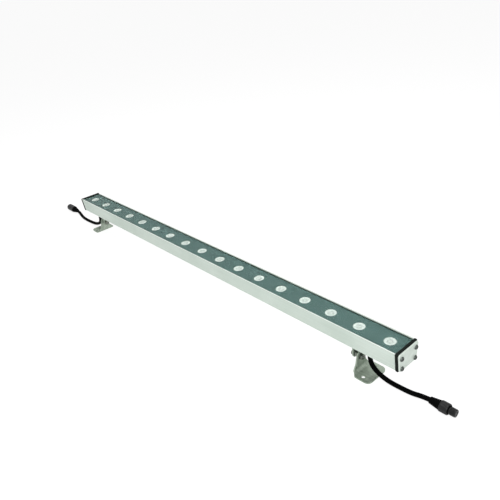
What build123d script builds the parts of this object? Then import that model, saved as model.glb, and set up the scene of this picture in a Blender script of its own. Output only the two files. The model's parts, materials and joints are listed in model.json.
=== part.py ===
from build123d import *
import math
import os

# LED strip batten: a metre of aluminium extrusion with seventeen lensed emitters under one flat
# glass, closed by a gasket and a plate at each end. It stands on two steel feet that tilt on
# hangers clamped in the channel along its underside, and a short lead leaves it near each end.
# Millimetres. X runs along the bar with 0 at its middle, Z is up, and the floor is Z = 0.

os.makedirs("parts", exist_ok=True)

# Bar
bar_length = 1000.0  # over both end plates
bar_height = 33.0
top_width = 51.4
bottom_width = 44.5
stand_height = 55.0  # underside of the bar above the floor
wall = 2.0
corner_radius = 1.5

# Glass and its seat
lip_width = 2.4
glass_thickness = 3.0
glass_recess = 1.0
glass_side_gap = 0.3
glass_end_gap = 0.3
glass_edge = 0.4
film_thickness = 0.3
seal_thickness = 0.5
seal_setback = 0.1  # of the seal from the free edge of its ledge
ledge_width = 3.0
ledge_thickness = 1.6

# Emitters, lenses and circuit boards
lens_count = 17
first_lens = 33.2  # from the outer face of the end plate to the first lens axis
window_diameter = 20.4
lens_diameter = 20.8
lens_flange = 1.2
lens_base_diameter = 9.6
lens_dish = 0.5
lens_well_diameter = 6.0
holder_wall = 0.5
holder_foot = 1.0
emitter_size = 5.0
emitter_base = 0.9
emitter_dome = 2.1
shelf_height = 14.8  # underside of the shelf above the underside of the bar
led_board_width = 29.0
board_thickness = 1.6
board_end_gap = 6.0
film_gap = 0.1
driver_length = 210.0
driver_width = 36.0
driver_inset = 190.0  # from the outer face of the left end plate to the middle of the board
chip_size = 6.0
chip_height = 1.8
coil_diameter = 12.0
coil_height = 3.0
coil_count = 4

# Clamp channel in the underside
channel_width = 22.0
channel_height = 4.5
channel_mouth = 15.0
channel_lip = 2.0
channel_roof = 2.0

# End plates, gaskets and their screws
cap_thickness = 2.5
cap_edge = 0.5
cap_inset = 0.4  # of the end plate from the outline of the bar
gasket_thickness = 5.5
gasket_proud = 1.0
gasket_round = 2.0
cap_screw_top = (18.5, 24.0)  # across and above the underside of the bar
cap_screw_bottom = (17.2, 5.0)
cap_screw_diameter = 4.0
cap_screw_length = 18.0
cap_screw_head = 8.0
cap_screw_head_height = 2.6
cap_screw_recess = 4.4
port_wall = 1.4
screw_clearance = 0.05

# Feet
right_web_inset = 87.5  # outer face of each foot's web from its end of the bar
left_web_inset = 55.0
foot_sheet = 2.5
foot_length = 34.0
foot_width = 50.0
foot_bend = 6.0
foot_corner = 9.0
foot_ear = 10.0
foot_waist = (12.8, 14.0)  # half width of the web and its height above the floor
foot_heel = (18.5, 5.0)
foot_flare = 5.0  # of the plate, from the web's outer face to its full width
foot_waist_round = 12.0
foot_hole_diameter = 6.5
foot_hole_reach = 16.5
foot_hole_spacing = 32.0
pivot_height = 27.0
pivot_clearance = 0.1

# Hangers and their fasteners
hanger_sheet = 2.5
hanger_width = 14.0
hanger_arm = 26.0
hanger_ear = 7.0
hanger_bend = 2.0
slide_clearance = 0.1
sleeve_length = 8.0
sleeve_diameter = 10.0
bolt_diameter = 6.0
bolt_flats = 10.0
bolt_head_height = 4.0
washer_diameter = 12.5
washer_thickness = 1.0
pivot_nut_height = 4.0
thread_stand = 1.0
clamp_reach = 14.0  # clamp bolt axis inboard of the hanger's leg
slot_nut_length = 16.0
slot_nut_height = 4.0
slot_nut_side_gap = 0.3

# Cable glands
right_gland_inset = 70.0  # gland axis from its end of the bar
left_gland_inset = 36.0
gland_flats = 18.0
gland_flange = 6.0
gland_thread_diameter = 16.0
gland_thread_length = 6.0
gland_barrel_diameter = 14.0
gland_barrel_length = 8.5
gland_bore_diameter = 11.2
gland_pocket_diameter = 21.4
gland_nut_flats = 17.0
gland_nut_grip = 7.0
gland_mouth_diameter = 11.0
gland_exit = 41.0  # mouth of the gland above the floor
locknut_flats = 20.0
locknut_height = 3.0
bush_length = 6.0

# Leads
lead_diameter = 8.0
core_diameter = 1.8
core_spread = 2.2
tail_clearance = 0.05
# route of each lead: outwards from its gland's axis, across, and above the floor
right_route = [
    (0.0, 0.0, 41.0),
    (0.0, 0.0, 29.0),
    (5.6, -0.4, 17.2),
    (18.0, -1.1, 8.9),
    (37.0, -1.9, 4.1),
    (59.0, -1.3, 4.0),
    (77.0, 0.5, 5.2),
    (93.0, 2.6, 9.0),
    (108.0, 2.6, 9.0),
]
left_route = [
    (0.0, 0.0, 41.0),
    (0.0, 0.0, 29.0),
    (5.8, 0.3, 17.6),
    (18.5, 0.2, 9.2),
    (38.5, -1.2, 4.2),
    (62.0, -2.2, 4.0),
    (86.0, -1.5, 4.0),
    (108.0, 0.4, 4.4),
    (128.0, 2.7, 6.0),
    (144.0, 4.3, 9.0),
    (158.0, 4.3, 9.0),
]

# Plug and socket on the leads
coupling_diameter = 18.0
boot_length = 17.0
boot_small_diameter = 11.0
boot_large_diameter = 16.0
grip_length = 14.0
nose_diameter = 13.0
nose_length = 12.0
neck_length = 8.0
ring_length = 16.0
ring_flutes = 12
flute_radius = 1.0
ring_play = 0.3
pin_diameter = 1.6
pin_circle = 5.0
pin_length = 7.0
pin_count = 4
contact_clearance = 0.1
seal_ring_section = 1.4
seal_groove = 1.0

# Sizes worked out from those above
housing_length = bar_length - 2 * (cap_thickness + gasket_thickness)
housing_half = housing_length / 2
seat_half = top_width / 2 - lip_width
glass_top = stand_height + bar_height - glass_recess
glass_bottom = glass_top - glass_thickness
film_bottom = glass_bottom - film_thickness
ledge_top = film_bottom - seal_thickness
shelf_bottom = stand_height + shelf_height
shelf_top = shelf_bottom + wall
board_top = shelf_top + board_thickness
lens_top = film_bottom - film_gap
lens_pitch = (bar_length - 2 * first_lens) / (lens_count - 1)
channel_top = stand_height + channel_lip + channel_height
roof_top = channel_top + channel_roof
port_radius = cap_screw_diameter / 2 + port_wall
driver_bottom = max(roof_top, stand_height + cap_screw_bottom[1] + port_radius) + screw_clearance
driver_top = driver_bottom + board_thickness
gland_seat = channel_top
sides = {"left": -1, "right": 1}
web_faces = {"left": bar_length / 2 - left_web_inset, "right": bar_length / 2 - right_web_inset}
gland_axes = {
    "left": bar_length / 2 - left_gland_inset,
    "right": bar_length / 2 - right_gland_inset,
}
routes = {
    "left": [(-gland_axes["left"] - out, across, up) for out, across, up in left_route],
    "right": [(gland_axes["right"] + out, across, up) for out, across, up in right_route],
}
lead_names = {"left": "left_lead", "right": "right_lead"}


def save(piece, name):
    """Label a finished piece and write it as one STEP file."""
    piece.part.label = name
    export_step(piece.part, f"parts/{name}.step")


def half_width(height):
    """Half the bar's width at a height above its underside."""
    return bottom_width / 2 + (top_width - bottom_width) / 2 * height / bar_height


def level(side, reach=0.0, height=0.0):
    """Horizontal plane whose X points outwards, towards the bar's own end."""
    return Plane(origin=(side * reach, 0, height), x_dir=(side, 0, 0), z_dir=(0, 0, 1))


def upright(side, reach=0.0, height=0.0):
    """Lengthwise upright plane: X outwards and Y up."""
    return Plane(origin=(side * reach, 0, height), x_dir=(side, 0, 0), z_dir=(0, -side, 0))


def crosswise(side, reach=0.0, height=0.0):
    """Plane across the bar: X across, Y up, and its normal outwards."""
    return Plane(origin=(side * reach, 0, height), x_dir=(0, side, 0), z_dir=(side, 0, 0))


def bar_section(plane, grow, radius):
    """The bar's outline, a trapezoid wider at the top, with rounded corners."""
    low, high = -grow, bar_height + grow
    with BuildSketch(plane) as section:
        with BuildLine():
            Polyline(
                (-half_width(0) - grow, low),
                (half_width(0) + grow, low),
                (half_width(bar_height) + grow, high),
                (-half_width(bar_height) - grow, high),
                close=True,
            )
        make_face()
        fillet(section.vertices(), radius)
    return section.sketch


# housing extrusion
with BuildPart() as housing:
    with BuildSketch(crosswise(1, -housing_half, stand_height)) as profile:
        with BuildLine():
            Polyline(
                (-half_width(0), 0),
                (half_width(0), 0),
                (half_width(bar_height), bar_height),
                (-half_width(bar_height), bar_height),
                close=True,
            )
        make_face()
        fillet(profile.vertices().group_by(Axis.Y)[0], corner_radius)
        # seat of the glass, open at the top
        with Locations((0, ledge_top - stand_height)):
            Rectangle(2 * seat_half, bar_height, align=(Align.CENTER, Align.MIN), mode=Mode.SUBTRACT)
        # gap between the two ledges
        with Locations((0, shelf_top - stand_height)):
            Rectangle(
                2 * (seat_half - ledge_width),
                ledge_top - shelf_top,
                align=(Align.CENTER, Align.MIN),
                mode=Mode.SUBTRACT,
            )
        # optical chamber and, below the shelf, the wiring chamber
        chambers = (
            (shelf_top - stand_height, ledge_top - ledge_thickness - stand_height),
            (channel_lip, shelf_height),
        )
        for low, high in chambers:
            with BuildLine():
                Polyline(
                    (wall - half_width(low), low),
                    (half_width(low) - wall, low),
                    (half_width(high) - wall, high),
                    (wall - half_width(high), high),
                    close=True,
                )
            make_face(mode=Mode.SUBTRACT)
        # clamp channel: its box, then its inside and its mouth
        channel_box = channel_width + 2 * channel_roof
        Rectangle(channel_box, roof_top - stand_height, align=(Align.CENTER, Align.MIN))
        Rectangle(
            channel_mouth, channel_lip + channel_height, align=(Align.CENTER, Align.MIN), mode=Mode.SUBTRACT
        )
        with Locations((0, channel_lip)):
            Rectangle(
                channel_width, channel_height, align=(Align.CENTER, Align.MIN), mode=Mode.SUBTRACT
            )
        # screw ports, each tied to the nearest wall
        for across, height in (cap_screw_top, cap_screw_bottom):
            with Locations((across, height), (-across, height)):
                Circle(port_radius)
        tie = half_width(cap_screw_top[1]) - wall / 2 - cap_screw_top[0]
        with Locations((cap_screw_top[0] + tie / 2, cap_screw_top[1])):
            Rectangle(tie, wall)
        with Locations((-cap_screw_top[0] - tie / 2, cap_screw_top[1])):
            Rectangle(tie, wall)
        with Locations(
            (cap_screw_bottom[0], channel_lip / 2), (-cap_screw_bottom[0], channel_lip / 2)
        ):
            Rectangle(wall, cap_screw_bottom[1] - channel_lip / 2, align=(Align.CENTER, Align.MIN))
        for across, height in (cap_screw_top, cap_screw_bottom):
            with Locations((across, height), (-across, height)):
                Circle(cap_screw_diameter / 2 + screw_clearance, mode=Mode.SUBTRACT)
    extrude(amount=housing_length)
    # pocket milled through the lips for each gland, and its hole in the channel's roof
    for name, side in sides.items():
        with BuildSketch(Plane.XY.offset(stand_height)):
            with Locations((side * gland_axes[name], 0)):
                Circle(gland_pocket_diameter / 2)
        extrude(amount=channel_lip + channel_height, mode=Mode.SUBTRACT)
        with BuildSketch(Plane.XY.offset(gland_seat)):
            with Locations((side * gland_axes[name], 0)):
                Circle(gland_thread_diameter / 2 + screw_clearance)
        extrude(amount=channel_roof, mode=Mode.SUBTRACT)
save(housing, "housing_extrusion")


# glass, film and seal
glass_length = housing_length - 2 * glass_end_gap
glass_width = 2 * (seat_half - glass_side_gap)

with BuildPart() as glass:
    with BuildSketch(Plane.XY.offset(glass_bottom)):
        Rectangle(glass_length, glass_width)
    extrude(amount=glass_thickness)
    chamfer(glass.edges().group_by(Axis.Z)[-1], glass_edge)
save(glass, "cover_glass")

with BuildPart() as film:
    with BuildSketch(Plane.XY.offset(film_bottom)):
        Rectangle(glass_length, glass_width)
        with GridLocations(lens_pitch, 0, lens_count, 1):
            Circle(window_diameter / 2, mode=Mode.SUBTRACT)
    extrude(amount=film_thickness)
save(film, "window_film")

with BuildPart() as seal:
    with BuildSketch(Plane.XY.offset(ledge_top)):
        Rectangle(glass_length, glass_width)
        seal_inside = 2 * (seat_half - ledge_width + seal_setback)
        Rectangle(glass_length - (glass_width - seal_inside), seal_inside, mode=Mode.SUBTRACT)
    extrude(amount=seal_thickness)
save(seal, "glass_seal")


# lighting board
with BuildPart() as led_board:
    with BuildSketch(Plane.XY.offset(shelf_top)):
        RectangleRounded(housing_length - 2 * board_end_gap, led_board_width, corner_radius)
    extrude(amount=board_thickness)
save(led_board, "led_board")

with BuildPart() as emitter:
    with BuildSketch(Plane.XY.offset(board_top)):
        Rectangle(emitter_size, emitter_size)
    extrude(amount=emitter_base)
    with BuildSketch(Plane.XZ) as dome:
        with Locations((0, board_top + emitter_base)):
            Circle(emitter_dome)
            Rectangle(4 * emitter_dome, 2 * emitter_dome, align=(Align.CENTER, Align.MAX), mode=Mode.SUBTRACT)
            Rectangle(2 * emitter_dome, 4 * emitter_dome, align=(Align.MAX, Align.CENTER), mode=Mode.SUBTRACT)
    revolve(axis=Axis.Z)

with BuildPart() as emitters:
    with GridLocations(lens_pitch, 0, lens_count, 1):
        add(emitter.part)
save(emitters, "led_emitters")

lens_base = board_top + holder_foot
lens_shoulder = lens_top - lens_flange
well_top = board_top + emitter_base + emitter_dome + holder_foot

with BuildPart() as lens:
    with BuildSketch(Plane.XZ):
        with BuildLine():
            Polyline(
                (lens_well_diameter / 2, lens_base),
                (lens_base_diameter / 2, lens_base),
                (lens_diameter / 2 - holder_wall, lens_shoulder),
                (lens_diameter / 2, lens_shoulder),
                (lens_diameter / 2, lens_top),
                (lens_diameter / 2 - lens_dish, lens_top),
                (0, lens_top - lens_dish),
                (0, well_top),
                (lens_well_diameter / 2, well_top),
                close=True,
            )
        make_face()
    revolve(axis=Axis.Z)

with BuildPart() as lenses:
    with GridLocations(lens_pitch, 0, lens_count, 1):
        add(lens.part)
save(lenses, "lenses")

with BuildPart() as holder:
    with BuildSketch(Plane.XZ):
        with BuildLine():
            Polyline(
                (lens_base_diameter / 2, board_top),
                (lens_base_diameter / 2 + 2 * holder_wall, board_top),
                (lens_diameter / 2, lens_shoulder - holder_wall),
                (lens_diameter / 2, lens_shoulder),
                (lens_diameter / 2 - holder_wall, lens_shoulder),
                (lens_base_diameter / 2, lens_base),
                close=True,
            )
        make_face()
    revolve(axis=Axis.Z)

with BuildPart() as holders:
    with GridLocations(lens_pitch, 0, lens_count, 1):
        add(holder.part)
save(holders, "lens_holders")


# driver board
driver_middle = driver_inset - bar_length / 2
coil_pitch = driver_length / (coil_count + 1)

with BuildPart() as driver_board:
    with BuildSketch(Plane.XY.offset(driver_bottom)):
        with Locations((driver_middle, 0)):
            RectangleRounded(driver_length, driver_width, corner_radius)
    extrude(amount=board_thickness)
save(driver_board, "driver_board")

with BuildPart() as coils:
    with BuildSketch(Plane.XY.offset(driver_top)):
        with Locations((driver_middle, -driver_width / 4)):
            with GridLocations(coil_pitch, 0, coil_count, 1):
                Circle(coil_diameter / 2)
    extrude(amount=coil_height)
save(coils, "driver_coils")

with BuildPart() as chips:
    with BuildSketch(Plane.XY.offset(driver_top)):
        with Locations((driver_middle, driver_width / 4)):
            with GridLocations(coil_pitch, 0, coil_count, 1):
                Rectangle(chip_size, chip_size)
    extrude(amount=chip_height)
save(chips, "driver_chips")


# ends of the bar
def screw_places():
    """The four screw axes, across and above the underside of the bar."""
    places = []
    for across, height in (cap_screw_top, cap_screw_bottom):
        places += [(across, height), (-across, height)]
    return places


def end_gasket(side):
    """Rubber pad between the extrusion and the end plate, a little proud all round."""
    with BuildPart() as gasket:
        outline = bar_section(
            crosswise(side, housing_half, stand_height), gasket_proud, corner_radius + gasket_proud
        )
        extrude(outline, amount=gasket_thickness)
        rims = gasket.faces().filter_by(Axis.X).edges()
        fillet(rims, gasket_round)
        with BuildSketch(crosswise(side, housing_half, stand_height)):
            with Locations(*screw_places()):
                Circle(cap_screw_diameter / 2 + screw_clearance)
        extrude(amount=gasket_thickness, mode=Mode.SUBTRACT)
    return gasket


def end_cap(side):
    """Aluminium plate that closes one end, with a broken outer edge and four screw holes."""
    inner = housing_half + gasket_thickness
    with BuildPart() as cap:
        extrude(
            bar_section(crosswise(side, inner, stand_height), -cap_inset, 2 * corner_radius),
            amount=cap_thickness,
        )
        outer_face = cap.faces().sort_by(Axis.X)[-1 if side > 0 else 0]
        chamfer(outer_face.edges(), cap_edge)
        with BuildSketch(crosswise(side, inner, stand_height)):
            with Locations(*screw_places()):
                Circle(cap_screw_diameter / 2 + screw_clearance)
        extrude(amount=cap_thickness, mode=Mode.SUBTRACT)
    return cap


def cap_screws(side):
    """Four pan-head screws with crossed drives, through plate and gasket into the ports."""
    face = bar_length / 2
    shank = crosswise(side, face - cap_screw_length, stand_height)
    with BuildPart() as screws:
        with BuildSketch(shank):
            with Locations(*screw_places()):
                Circle(cap_screw_diameter / 2)
        extrude(amount=cap_screw_length)
        with BuildSketch(crosswise(side, face, stand_height)):
            with Locations(*screw_places()):
                Circle(cap_screw_head / 2)
        extrude(amount=cap_screw_head_height)
        fillet(screws.edges().group_by(Axis.X)[-1 if side > 0 else 0], cap_screw_head_height / 2)
        with BuildSketch(crosswise(side, face + cap_screw_head_height / 2, stand_height)):
            with Locations(*screw_places()):
                Rectangle(cap_screw_recess, cap_screw_recess / 4)
                Rectangle(cap_screw_recess / 4, cap_screw_recess)
        extrude(amount=cap_screw_head_height / 2, mode=Mode.SUBTRACT)
    return screws


for name, side in sides.items():
    save(end_gasket(side), f"{name}_end_gasket")
    save(end_cap(side), f"{name}_end_cap")
    save(cap_screws(side), f"{name}_cap_screws")


# feet
def foot(side, web):
    """Pressed steel foot: a web that widens below the pivot and bends out into a plate."""
    with BuildPart() as bracket:
        with BuildSketch(upright(side, web)) as bend:
            with BuildLine():
                Polyline(
                    (-foot_sheet, 0),
                    (foot_length, 0),
                    (foot_length, foot_sheet),
                    (0, foot_sheet),
                    (0, pivot_height + foot_ear),
                    (-foot_sheet, pivot_height + foot_ear),
                    close=True,
                )
            make_face()
            fillet(bend.vertices().sort_by_distance((0, foot_sheet))[0], foot_bend)
            fillet(bend.vertices().sort_by_distance((-foot_sheet, 0))[0], foot_bend + foot_sheet)
        extrude(amount=foot_width / 2, both=True)
        # outline of the web, seen along the bar
        waist_width, waist_height = foot_waist
        heel_width, heel_height = foot_heel
        with BuildSketch(crosswise(side, web)) as front:
            with BuildLine():
                Polyline(
                    (-foot_width / 2, 0),
                    (foot_width / 2, 0),
                    (foot_width / 2, foot_sheet),
                    (heel_width, heel_height),
                    (waist_width, waist_height),
                    (foot_ear, pivot_height),
                    (-foot_ear, pivot_height),
                    (-waist_width, waist_height),
                    (-heel_width, heel_height),
                    (-foot_width / 2, foot_sheet),
                    close=True,
                )
            make_face()
            for across in (-1, 1):
                waist = (across * waist_width, waist_height)
                fillet(front.vertices().sort_by_distance(waist)[0], foot_waist_round)
            with Locations((0, pivot_height)):
                Circle(foot_ear)
        extrude(amount=foot_length, both=True, mode=Mode.INTERSECT)
        # outline of the plate, seen from above
        with BuildSketch(level(side, web)) as plan:
            with BuildLine():
                Polyline(
                    (-foot_length, -heel_width),
                    (0, -heel_width),
                    (foot_flare, -foot_width / 2),
                    (foot_length, -foot_width / 2),
                    (foot_length, foot_width / 2),
                    (foot_flare, foot_width / 2),
                    (0, heel_width),
                    (-foot_length, heel_width),
                    close=True,
                )
            make_face()
            for across in (-1, 1):
                neck = (0, across * heel_width)
                shoulder = (foot_flare, across * foot_width / 2)
                tip = (foot_length, across * foot_width / 2)
                fillet(plan.vertices().sort_by_distance(neck)[0], foot_flare)
                fillet(plan.vertices().sort_by_distance(shoulder)[0], foot_flare)
                fillet(plan.vertices().sort_by_distance(tip)[0], foot_corner)
        extrude(amount=pivot_height + foot_ear, mode=Mode.INTERSECT)
        with BuildSketch(level(side, web)):
            with Locations((foot_hole_reach, 0)):
                with GridLocations(0, foot_hole_spacing, 1, 2):
                    Circle(foot_hole_diameter / 2)
        extrude(amount=foot_sheet, mode=Mode.SUBTRACT)
        with BuildSketch(crosswise(side, web, pivot_height)):
            Circle(bolt_diameter / 2 + pivot_clearance)
        extrude(amount=-foot_sheet, mode=Mode.SUBTRACT)
    return bracket


# hangers and fasteners
leg_face = foot_sheet + pivot_clearance + sleeve_length  # inboard of the foot's outer face
hanger_top = stand_height - slide_clearance
clamp_axis = leg_face + clamp_reach


def hanger(side, web):
    """Bent steel strap: an arm flat under the bar and a leg down to the pivot."""
    leg = web - leg_face
    with BuildPart() as strap:
        with BuildSketch(upright(side, leg)) as bend:
            with BuildLine():
                Polyline(
                    (0, pivot_height - hanger_ear),
                    (0, hanger_top),
                    (-hanger_arm, hanger_top),
                    (-hanger_arm, hanger_top - hanger_sheet),
                    (-hanger_sheet, hanger_top - hanger_sheet),
                    (-hanger_sheet, pivot_height - hanger_ear),
                    close=True,
                )
            make_face()
            inner_corner = (-hanger_sheet, hanger_top - hanger_sheet)
            fillet(bend.vertices().sort_by_distance(inner_corner)[0], hanger_bend)
            fillet(bend.vertices().sort_by_distance((0, hanger_top))[0], hanger_bend + hanger_sheet)
        extrude(amount=hanger_width / 2, both=True)
        with BuildSketch(crosswise(side, leg)):
            with Locations((0, pivot_height)):
                Circle(hanger_ear)
            arm_depth = hanger_bend + hanger_sheet
            with Locations((0, hanger_top - arm_depth / 2)):
                Rectangle(hanger_width, arm_depth)
            make_hull()
        extrude(amount=2 * hanger_arm, both=True, mode=Mode.INTERSECT)
        with BuildSketch(crosswise(side, leg, pivot_height)):
            Circle(bolt_diameter / 2 + screw_clearance)
        extrude(amount=-hanger_sheet, mode=Mode.SUBTRACT)
        with BuildSketch(level(side, web - clamp_axis, hanger_top)):
            Circle(bolt_diameter / 2 + screw_clearance)
        extrude(amount=-hanger_sheet, mode=Mode.SUBTRACT)
    return strap


def slot_nut(side, web):
    """Flat nut that slides in the channel and draws the hanger up against the bar."""
    with BuildPart() as nut:
        with BuildSketch(level(side, web - clamp_axis, stand_height + channel_lip + slide_clearance)):
            Rectangle(slot_nut_length, channel_width - 2 * slot_nut_side_gap)
            Circle(bolt_diameter / 2 + screw_clearance, mode=Mode.SUBTRACT)
        extrude(amount=slot_nut_height)
    return nut


def clamp_bolt(side, web):
    """Hexagon bolt up through the hanger's arm into the slot nut."""
    head = hanger_top - hanger_sheet
    length = stand_height + channel_lip + slide_clearance + slot_nut_height - head
    with BuildPart() as bolt:
        with BuildSketch(level(side, web - clamp_axis, head)):
            RegularPolygon(bolt_flats / 2, 6, major_radius=False)
        extrude(amount=-bolt_head_height)
        with BuildSketch(level(side, web - clamp_axis, head)):
            Circle(bolt_diameter / 2)
        extrude(amount=length)
    return bolt


def pivot_bolt(side, web):
    """Hexagon bolt along the bar, head inboard of the hanger's leg."""
    head = web - leg_face - hanger_sheet
    length = web + pivot_clearance + washer_thickness + pivot_nut_height + thread_stand - head
    with BuildPart() as bolt:
        with BuildSketch(crosswise(side, head, pivot_height)):
            RegularPolygon(bolt_flats / 2, 6, major_radius=False)
        extrude(amount=-bolt_head_height)
        with BuildSketch(crosswise(side, head, pivot_height)):
            Circle(bolt_diameter / 2)
        extrude(amount=length)
        chamfer(bolt.edges().group_by(Axis.X)[-1 if side > 0 else 0], thread_stand / 2)
    return bolt


def pivot_ring(side, inner, diameter, length):
    """Plain ring on the pivot bolt: the sleeve, or the washer outside the foot."""
    with BuildPart() as ring:
        with BuildSketch(crosswise(side, inner, pivot_height)):
            Circle(diameter / 2)
            Circle(bolt_diameter / 2 + screw_clearance, mode=Mode.SUBTRACT)
        extrude(amount=length)
    return ring


def pivot_nut(side, web):
    """Hexagon nut that holds the foot on the pivot bolt."""
    with BuildPart() as nut:
        with BuildSketch(crosswise(side, web + pivot_clearance + washer_thickness, pivot_height)):
            RegularPolygon(bolt_flats / 2, 6, major_radius=False)
            Circle(bolt_diameter / 2 + screw_clearance, mode=Mode.SUBTRACT)
        extrude(amount=pivot_nut_height)
    return nut


for name, side in sides.items():
    web = web_faces[name]
    save(foot(side, web), f"{name}_foot")
    save(hanger(side, web), f"{name}_hanger")
    save(slot_nut(side, web), f"{name}_slot_nut")
    save(clamp_bolt(side, web), f"{name}_clamp_bolt")
    save(pivot_bolt(side, web), f"{name}_pivot_bolt")
    save(pivot_ring(side, web - leg_face, sleeve_diameter, sleeve_length), f"{name}_pivot_sleeve")
    save(
        pivot_ring(side, web + pivot_clearance, washer_diameter, washer_thickness),
        f"{name}_pivot_washer",
    )
    save(pivot_nut(side, web), f"{name}_pivot_nut")


# cable glands
barrel_end = gland_seat - gland_flange - gland_barrel_length
lead_bore = lead_diameter / 2 + tail_clearance


def gland_body(side, axis):
    """Hexagon flange against the channel's roof, thread above it and barrel below."""
    with BuildPart() as body:
        with BuildSketch(level(side, axis, gland_seat)):
            RegularPolygon(gland_flats / 2, 6, major_radius=False)
        extrude(amount=-gland_flange)
        with BuildSketch(level(side, axis, gland_seat)):
            Circle(gland_thread_diameter / 2)
        extrude(amount=gland_thread_length)
        with BuildSketch(level(side, axis, gland_seat - gland_flange)):
            Circle(gland_barrel_diameter / 2)
        extrude(amount=-gland_barrel_length)
        with BuildSketch(level(side, axis, barrel_end)):
            Circle(gland_bore_diameter / 2)
        extrude(amount=gland_seat + gland_thread_length - barrel_end, mode=Mode.SUBTRACT)
    return body


def gland_nut(side, axis):
    """Dome nut: a hexagon grip that narrows to the mouth where the lead comes out."""
    grip_top = gland_seat - gland_flange
    grip_end = grip_top - gland_nut_grip
    with BuildPart() as nut:
        with BuildSketch(level(side, axis, grip_top)):
            RegularPolygon(gland_nut_flats / 2, 6, major_radius=False)
        extrude(amount=-gland_nut_grip)
        with BuildSketch(upright(side, axis)):
            with BuildLine():
                Line((0, grip_end), (gland_nut_flats / 2, grip_end))
                ThreePointArc(
                    (gland_nut_flats / 2, grip_end),
                    (
                        gland_mouth_diameter / 2 + 0.7 * (gland_nut_flats - gland_mouth_diameter) / 2,
                        gland_exit + 0.4 * (grip_end - gland_exit),
                    ),
                    (gland_mouth_diameter / 2, gland_exit),
                )
                Polyline((gland_mouth_diameter / 2, gland_exit), (0, gland_exit), (0, grip_end))
            make_face()
        revolve(axis=Axis((side * axis, 0, 0), (0, 0, 1)))
        with BuildSketch(level(side, axis, grip_top)):
            Circle(gland_barrel_diameter / 2 + screw_clearance)
        extrude(amount=-gland_barrel_length, mode=Mode.SUBTRACT)
        with BuildSketch(level(side, axis, gland_exit)):
            Circle(lead_bore)
        extrude(amount=grip_top - gland_exit, mode=Mode.SUBTRACT)
    return nut


def gland_locknut(side, axis):
    """Thin hexagon nut on the gland's thread inside the bar."""
    with BuildPart() as nut:
        with BuildSketch(level(side, axis, roof_top)):
            RegularPolygon(locknut_flats / 2, 6, major_radius=False)
            Circle(gland_thread_diameter / 2 + screw_clearance, mode=Mode.SUBTRACT)
        extrude(amount=locknut_height)
    return nut


def gland_bush(side, axis):
    """Rubber bush squeezed round the lead inside the gland's barrel."""
    with BuildPart() as bush:
        with BuildSketch(level(side, axis, barrel_end)):
            Circle(gland_bore_diameter / 2 - screw_clearance)
            Circle(lead_bore, mode=Mode.SUBTRACT)
        extrude(amount=bush_length)
    return bush


def cable_tail(side, axis):
    """Sheathed end of the lead inside the gland, and its cores beyond it."""
    sheath_top = gland_seat + gland_thread_length
    core_top = shelf_bottom - film_gap
    with BuildPart() as tail:
        with BuildSketch(level(side, axis, gland_exit)):
            Circle(lead_diameter / 2)
        extrude(amount=sheath_top - gland_exit)
        with BuildSketch(level(side, axis, sheath_top)):
            with PolarLocations(core_spread, 3):
                Circle(core_diameter / 2)
        extrude(amount=core_top - sheath_top)
    return tail


for name, side in sides.items():
    axis = gland_axes[name]
    save(gland_body(side, axis), f"{name}_gland_body")
    save(gland_nut(side, axis), f"{name}_gland_nut")
    save(gland_locknut(side, axis), f"{name}_gland_locknut")
    save(gland_bush(side, axis), f"{name}_gland_bush")
    save(cable_tail(side, axis), f"{name}_cable_tail")


# leads
def bend_radii(route):
    """Radius of each bend: 0.45 of its shorter run, over the tangent of half the turn."""
    radii = []
    for before, corner, after in zip(route, route[1:], route[2:]):
        run_in = Vector(*corner) - Vector(*before)
        run_out = Vector(*after) - Vector(*corner)
        half_turn = math.radians(run_in.get_angle(run_out)) / 2
        radii.append(0.45 * min(run_in.length, run_out.length) / math.tan(half_turn))
    return radii


def lead(route):
    """Round cable swept along straight runs joined by tangent arcs."""
    with BuildPart() as cable:
        with BuildLine() as path:
            FilletPolyline(*route, radius=bend_radii(route))
        route_wire = path.wires()[0]
        with BuildSketch(Plane(route_wire @ 0, z_dir=route_wire % 0)):
            Circle(lead_diameter / 2)
        sweep(path=route_wire)
    return cable, route_wire.length


for name, route in routes.items():
    cable, length = lead(route)
    save(cable, lead_names[name])
    section = math.pi * lead_diameter**2 / 4
    print(
        f"{lead_names[name]}: {length:.1f} mm, volume over section x length "
        f"{cable.part.volume / (section * length):.4f}, radii",
        [round(radius, 1) for radius in bend_radii(route)],
    )


# plug and socket
def along(side, distance):
    """Plane across the end of a lead, a distance beyond it, facing away from the bar."""
    end = routes["left" if side < 0 else "right"][-1]
    return Plane(origin=(end[0] + side * distance, end[1], end[2]), x_dir=(0, side, 0), z_dir=(side, 0, 0))


def boot(side):
    """Tapered sleeve where the lead enters its connector."""
    with BuildPart() as sleeve:
        with BuildSketch(along(side, 0)):
            Circle(boot_small_diameter / 2)
        with BuildSketch(along(side, boot_length)):
            Circle(boot_large_diameter / 2)
        loft()
    return sleeve


grip_end = boot_length + grip_length
ring_start = grip_end + ring_play

with BuildPart() as plug_body:
    with BuildSketch(along(-1, boot_length)):
        Circle(coupling_diameter / 2)
    extrude(amount=grip_length)
    with BuildSketch(along(-1, grip_end)):
        Circle(nose_diameter / 2)
    extrude(amount=neck_length)
save(plug_body, "left_plug_body")

with BuildPart() as plug_pins:
    with BuildSketch(along(-1, grip_end + neck_length)):
        with PolarLocations(pin_circle / 2, pin_count):
            Circle(pin_diameter / 2)
    extrude(amount=pin_length)
save(plug_pins, "left_plug_pins")

with BuildPart() as plug_ring:
    with BuildSketch(along(-1, ring_start)):
        Circle(coupling_diameter / 2)
        Circle(nose_diameter / 2 + pivot_clearance, mode=Mode.SUBTRACT)
        with PolarLocations(
            coupling_diameter / 2 + flute_radius / 2, ring_flutes, start_angle=90 / ring_flutes
        ):
            Circle(flute_radius, mode=Mode.SUBTRACT)
    extrude(amount=ring_length)
save(plug_ring, "left_plug_ring")

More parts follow.
